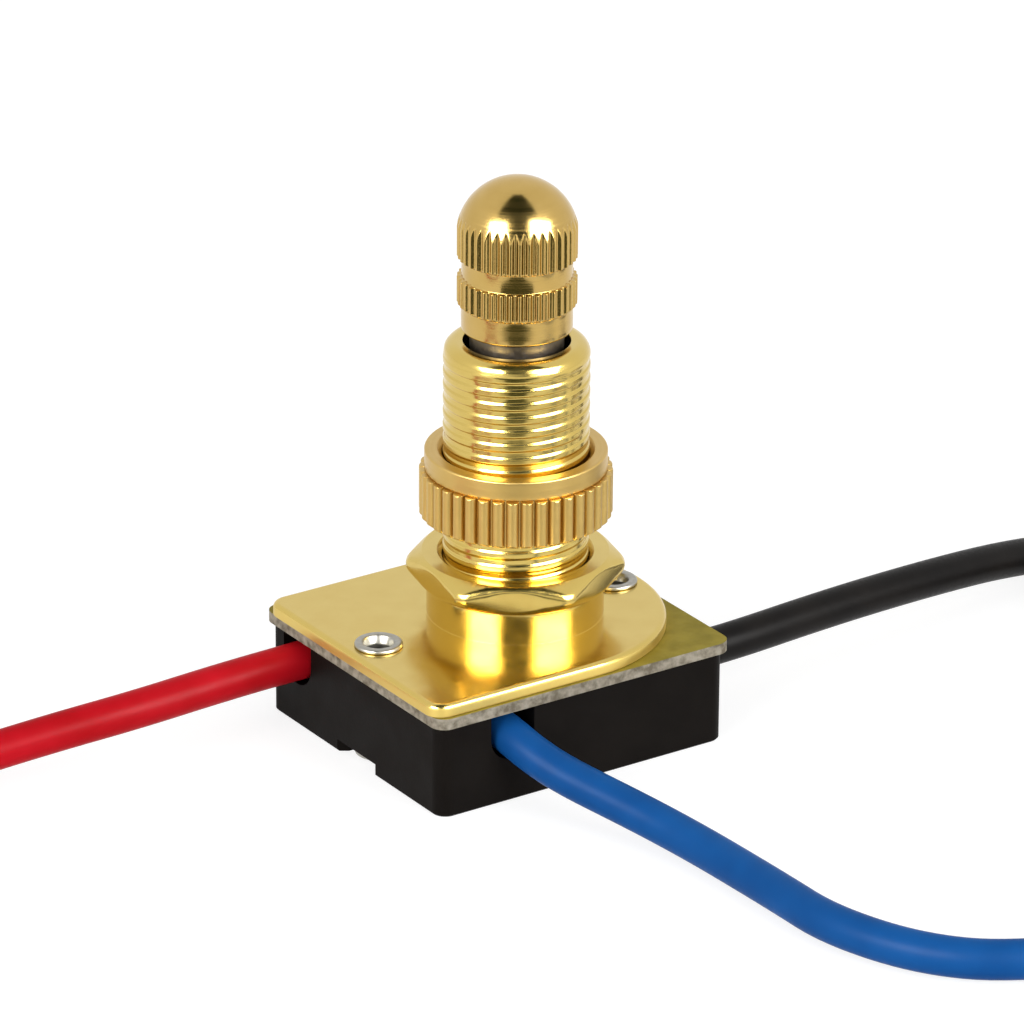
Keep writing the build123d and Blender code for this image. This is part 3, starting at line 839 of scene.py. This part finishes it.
def fibre():
    """Vulcanised fibre sheet: olive-yellow skin, and a pale mottled edge where it was sheared."""
    material, tree, _, cloud, mottle = new_material("vulcanised_fibre", (0.6, 3.0), (1.8, 5.0))
    skin_low, skin_high = linear("#7A6E26"), linear("#8C8032")
    edge_low, edge_high = linear("#6C6454"), linear("#A29A8A")
    normal = add(tree, "ShaderNodeNewGeometry").outputs["Normal"]
    up = add(tree, "ShaderNodeSeparateXYZ", {"Vector": normal}).outputs["Z"]
    is_edge = add(tree, "ShaderNodeMapRange", {"Value": up, "From Min": 0.8, "From Max": 0.2})
    skin, edge = [
        add(
            tree,
            "ShaderNodeMix",
            {
                "Factor": add(tree, "ShaderNodeMapRange", {**MIDDLE, "Value": share}).outputs[0],
                "A": low,
                "B": high,
            },
            data_type="RGBA",
        ).outputs[2]
        for share, low, high in ((cloud, skin_low, skin_high), (mottle, edge_low, edge_high))
    ]
    colour = add(
        tree,
        "ShaderNodeMix",
        {"Factor": is_edge.outputs["Result"], "A": skin, "B": edge},
        data_type="RGBA",
    ).outputs[2]
    bump = add(tree, "ShaderNodeBump", {"Height": mottle, "Strength": 0.5, "Distance": 0.05 * MM})
    shader = add(
        tree,
        "ShaderNodeBsdfPrincipled",
        {
            "Base Color": colour,
            "Roughness": 0.6,
            "Specular IOR Level": 0.1,
            "Normal": bump.outputs["Normal"],
        },
    )
    add(tree, "ShaderNodeOutputMaterial", {"Surface": shader.outputs["BSDF"]})
    return material


def plain_metal(name, tones, smoothest, roughest):
    """A small metal part: one tone with slight mottling, dull where the pattern is high."""
    material, tree, _, mottle = new_material(name, (3.0, 3.0))
    bump = add(tree, "ShaderNodeBump", {"Height": mottle, "Strength": 0.2, "Distance": 0.01 * MM})
    rough = add(
        tree,
        "ShaderNodeMapRange",
        {**MIDDLE, "Value": mottle, "To Min": smoothest, "To Max": roughest},
    )
    finish_material(
        tree,
        tones,
        mottle,
        {
            "Metallic": 1.0,
            "Roughness": rough.outputs["Result"],
            "Normal": bump.outputs["Normal"],
        },
    )
    return material


def insulation(name, tones, sheen=0.05):
    """Extruded PVC: soft-gloss, slightly uneven, with a long grain too fine to read as texture."""
    material, tree, _, cloud, skin = new_material(name, (0.25, 2.0), (4.0, 3.0))
    bump = add(tree, "ShaderNodeBump", {"Height": skin, "Strength": 0.25, "Distance": 0.01 * MM})
    share = add(tree, "ShaderNodeMapRange", {**MIDDLE, "Value": cloud})
    rough = add(
        tree, "ShaderNodeMapRange", {**MIDDLE, "Value": skin, "To Min": 0.34, "To Max": 0.46}
    )
    finish_material(
        tree,
        tones,
        share.outputs["Result"],
        {
            "Roughness": rough.outputs["Result"],
            "Specular IOR Level": sheen,
            "Normal": bump.outputs["Normal"],
        },
    )
    return material


def moulding():
    """Natural moulded plastic of the rotor, which isn't seen from outside."""
    material, tree, _, cloud = new_material("rotor_moulded", (0.6, 3.0))
    finish_material(tree, ("#C8BCA0", "#B8AA8C"), cloud, {"Roughness": 0.5})
    return material


def paint(piece, material):
    """Give a piece, or a node of the model, this material alone."""
    piece.data.materials.clear()
    piece.data.materials.append(material)


# Studio: distances in metres, angles in radians where they aren't said to be degrees

CAMERA_DISTANCE = 0.413263
CAMERA_HEIGHT = 0.194562
CAMERA_TURN = 0.5934
CAMERA_PITCH = 0.41017
CAMERA_YAW = 0.000532
CAMERA_ROLL = 0.0066
FOCAL_PIXELS = 6940.128
PHOTO_PIXELS = 1024
SENSOR = 36.0
LAMP_DISTANCE = 0.62
LAMP_TARGET = Vector((0, 0, 0.02))
FILL_RADIANCE = 5.0
GLARE_RADIANCE = 22.0
WORLD_LEVEL = 0.55
FLOOR_HALF = 4.0
REFLECTION_ARCH = 0.50


def make_camera():
    """Camera of the reference view: it looks down past the base's front corner."""
    data = bpy.data.cameras.new("camera")
    data.sensor_width = SENSOR
    data.lens = FOCAL_PIXELS * SENSOR / PHOTO_PIXELS
    data.clip_start = 0.01
    data.clip_end = 20.0
    camera = bpy.data.objects.new("camera", data)
    bpy.context.scene.collection.objects.link(camera)
    x, y = -CAMERA_DISTANCE * sin(CAMERA_TURN), -CAMERA_DISTANCE * cos(CAMERA_TURN)
    camera.matrix_world = (
        Matrix.Translation((x, y, CAMERA_HEIGHT))
        @ Matrix.Rotation(-CAMERA_TURN, 4, "Z")
        @ Matrix.Rotation(pi / 2 - CAMERA_PITCH, 4, "X")
        @ Matrix.Rotation(CAMERA_YAW, 4, "Y")
        @ Matrix.Rotation(CAMERA_ROLL, 4, "Z")
    )
    bpy.context.scene.camera = camera


def make_softbox(name, turn, elevation, roll, width, height):
    """Softbox that faces the switch, at `turn` degrees from the camera's side.

    It is two lamps in one place: the fill lights matt surfaces and the glare is what metal mirrors.
    roll turns it on its stand, in degrees.
    """
    bearing = CAMERA_TURN + radians(turn)
    level = cos(radians(elevation))
    way = Vector((-level * sin(bearing), -level * cos(bearing), sin(radians(elevation))))
    for kind, radiance in (("fill", FILL_RADIANCE), ("glare", GLARE_RADIANCE)):
        data = bpy.data.lights.new(f"{name}_{kind}", "AREA")
        data.shape = "RECTANGLE"
        data.size = width
        data.size_y = height
        data.energy = radiance * pi * width * height
        lamp = bpy.data.objects.new(f"{name}_{kind}", data)
        bpy.context.scene.collection.objects.link(lamp)
        lamp.location = LAMP_TARGET + way * LAMP_DISTANCE
        lamp.rotation_mode = "QUATERNION"
        facing = (LAMP_TARGET - lamp.location).to_track_quat("-Z", "Y")
        lamp.rotation_quaternion = facing @ Quaternion((0, 0, 1), radians(roll))
        for_mirrors = kind == "glare"
        lamp.visible_camera = False
        lamp.visible_diffuse = not for_mirrors
        lamp.visible_glossy = for_mirrors
        # Without this the fill, which lies in the same place, would take the glare's mirrored rays
        data.cycles.use_multiple_importance_sampling = for_mirrors


def hang_reflection_sheet(name, rows, colour):
    """Dark sheet through rows of (distance towards the camera, height, half width), in metres.

    Each row runs straight across the view. The sheet is hidden from the camera, from lighting rays
    and from shadows, so it shows only in reflections. It is a painted reflection that gives the brass
    its dark middle.
    """
    away, height, half_width = np.array(rows, float).T[:, :, None]
    across = half_width * np.linspace(-1, 1, 9)[None, :]
    points = np.stack(
        (
            -away * sin(CAMERA_TURN) + across * cos(CAMERA_TURN),
            -away * cos(CAMERA_TURN) - across * sin(CAMERA_TURN),
            height + 0 * across,
        ),
        axis=-1,
    )
    index = np.arange(across.size).reshape(across.shape)
    faces = np.stack((index[:-1, :-1], index[:-1, 1:], index[1:, 1:], index[1:, :-1]), axis=-1)
    reflection_sheet = make_piece(name, [(points / MM, faces.reshape(-1, 4))])
    material, tree, _ = new_material(name)
    reflected_dark = add(tree, "ShaderNodeBsdfDiffuse", {"Color": linear(colour)})
    add(tree, "ShaderNodeOutputMaterial", {"Surface": reflected_dark.outputs["BSDF"]})
    paint(reflection_sheet, material)
    reflection_sheet.visible_camera = False
    reflection_sheet.visible_diffuse = False
    reflection_sheet.visible_shadow = False


def make_painted_reflections():
    """Two painted reflections, dark sheets that show only in reflections: one is arched over the
    camera, on a cylinder across the view, and one lies at floor level.
    """
    degrees_up = np.linspace(12, 103, 60)
    half_width = np.interp(degrees_up, (12, 49, 55, 64, 103), (0.17, 0.18, 0.29, 0.35, 0.05))
    rise = np.radians(degrees_up)
    arch = (REFLECTION_ARCH * np.cos(rise), LAMP_TARGET.z + REFLECTION_ARCH * np.sin(rise), half_width)
    # Painted reflection: a dark greenish patch that the knob's dome and flutes mirror
    hang_reflection_sheet("painted_reflection_arch", np.stack(arch, axis=-1), "#1D2819")
    # Painted reflection: a dark sheet at floor level that darkens the middle of the upright brass walls
    on_floor = [(0.050, 0.009), (0.062, 0.020), (0.072, 0.046), (0.52, 0.34)]
    above_paper = 0.0004
    hang_reflection_sheet("painted_reflection_floor", [(away, above_paper, half) for away, half in on_floor], "#4A4E3C")


def seen_directly(tree):
    """1 for rays from the camera, from reflections and through glass, 0 for rays that light things."""
    path = add(tree, "ShaderNodeLightPath")
    seen = path.outputs["Is Camera Ray"]
    for ray in ("Is Glossy Ray", "Is Transmission Ray"):
        seen = add(
            tree, "ShaderNodeMath", {0: seen, 1: path.outputs[ray]}, operation="MAXIMUM"
        ).outputs[0]
    return seen


def make_floor():
    """Pale sweep: white where it is looked at, less what the object's shadow takes from it."""
    mesh = bpy.data.meshes.new("floor")
    corners = [(x * FLOOR_HALF, y * FLOOR_HALF, 0) for x, y in ((-1, -1), (1, -1), (1, 1), (-1, 1))]
    mesh.from_pydata(corners, [], [(0, 1, 2, 3)])
    floor = bpy.data.objects.new("floor", mesh)
    bpy.context.scene.collection.objects.link(floor)
    material, tree, _ = new_material("floor_paper")
    paper = add(tree, "ShaderNodeBsdfDiffuse", {"Color": (0.8, 0.8, 0.8, 1)})
    shaded = add(tree, "ShaderNodeBsdfDiffuse", {"Color": (0.3, 0.3, 0.3, 1)})
    white = add(tree, "ShaderNodeEmission", {"Color": (1, 1, 1, 1), "Strength": 0.8})
    looked_at = add(
        tree, "ShaderNodeAddShader", {0: shaded.outputs["BSDF"], 1: white.outputs["Emission"]}
    )
    mixed = add(
        tree,
        "ShaderNodeMixShader",
        {0: seen_directly(tree), 1: paper.outputs["BSDF"], 2: looked_at.outputs["Shader"]},
    )
    add(tree, "ShaderNodeOutputMaterial", {"Surface": mixed.outputs["Shader"]})
    paint(floor, material)


def make_world():
    """Even light from all round, seen as plain white."""
    world = bpy.data.worlds.new("studio")
    world.use_nodes = True
    tree = world.node_tree
    tree.nodes.clear()
    strength = add(
        tree,
        "ShaderNodeMapRange",
        {"Value": seen_directly(tree), "To Min": WORLD_LEVEL, "To Max": 1.0},
    )
    light = add(
        tree,
        "ShaderNodeBackground",
        {"Color": (1, 1, 1, 1), "Strength": strength.outputs["Result"]},
    )
    add(tree, "ShaderNodeOutputWorld", {"Surface": light.outputs["Background"]})
    bpy.context.scene.world = world


# Build

make_camera()
leads = {colour: make_lead(colour) for colour in ROUTES}
knob = make_knob()
ring_nut = make_ring_nut()
hex_nut = make_hex_nut()
cover = make_metal_cover()
rivets = [make_rivet(name, x) for name, x in RIVETS.items()]

plating = brass_plating()
steel = plain_metal("steel_turned", ("#6E675E", "#585148"), 0.34, 0.48)
zinc = plain_metal("zinc_plated_eyelet", ("#ACAAA2", "#908D84"), 0.28, 0.42)
strip = plain_metal("brass_strip_stamped", ("#CDAF62", "#B99A4C"), 0.25, 0.40)
copper = plain_metal("copper_drawn", ("#D08A62", "#B8704A"), 0.22, 0.35)
jackets = {
    "red": insulation("pvc_extruded_red", ("#A80C15", "#B8111E")),
    "blue": insulation("pvc_extruded_blue", ("#0F4A8A", "#145498")),
    "black": insulation("pvc_extruded_black", ("#100E0D", "#181513"), 0.08),
}
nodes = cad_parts

paint(knob, turned_brass("brass_turned_polished", 0.13, 0.24))
paint(ring_nut, turned_brass("brass_turned_satin", 0.30, 0.40))
paint(hex_nut, plating)
paint(cover, plating)
for rivet in rivets:
    paint(rivet, zinc)
for colour, (lead, strands) in leads.items():
    paint(lead, jackets[colour])
    paint(strands, copper)
    paint(nodes[colour + "_lead"], jackets[colour])
    paint(nodes[colour + "_lead_coil"], jackets[colour])
    paint(nodes[colour + "_contact"], strip)
    paint(nodes[colour + "_strands"], copper)
    paint(nodes[colour + "_bare_end"], copper)
for name in ("spindle", "thrust_washer", "pressure_spring"):
    paint(nodes[name], steel)
for side in ("left", "right"):
    paint(nodes["detent_spring_" + side], steel)
paint(nodes["bridging_contact"], strip)
paint(nodes["rotor"], moulding())
paint(nodes["base_housing"], phenolic())
paint(nodes["insulating_plate"], fibre())

make_softbox("softbox_left", 41, 26, 14, 0.38, 0.33)
make_softbox("softbox_right", -50, 26, -24, 0.44, 0.33)
make_painted_reflections()
make_floor()
make_world()
bpy.context.scene.view_settings.view_transform = "Standard"
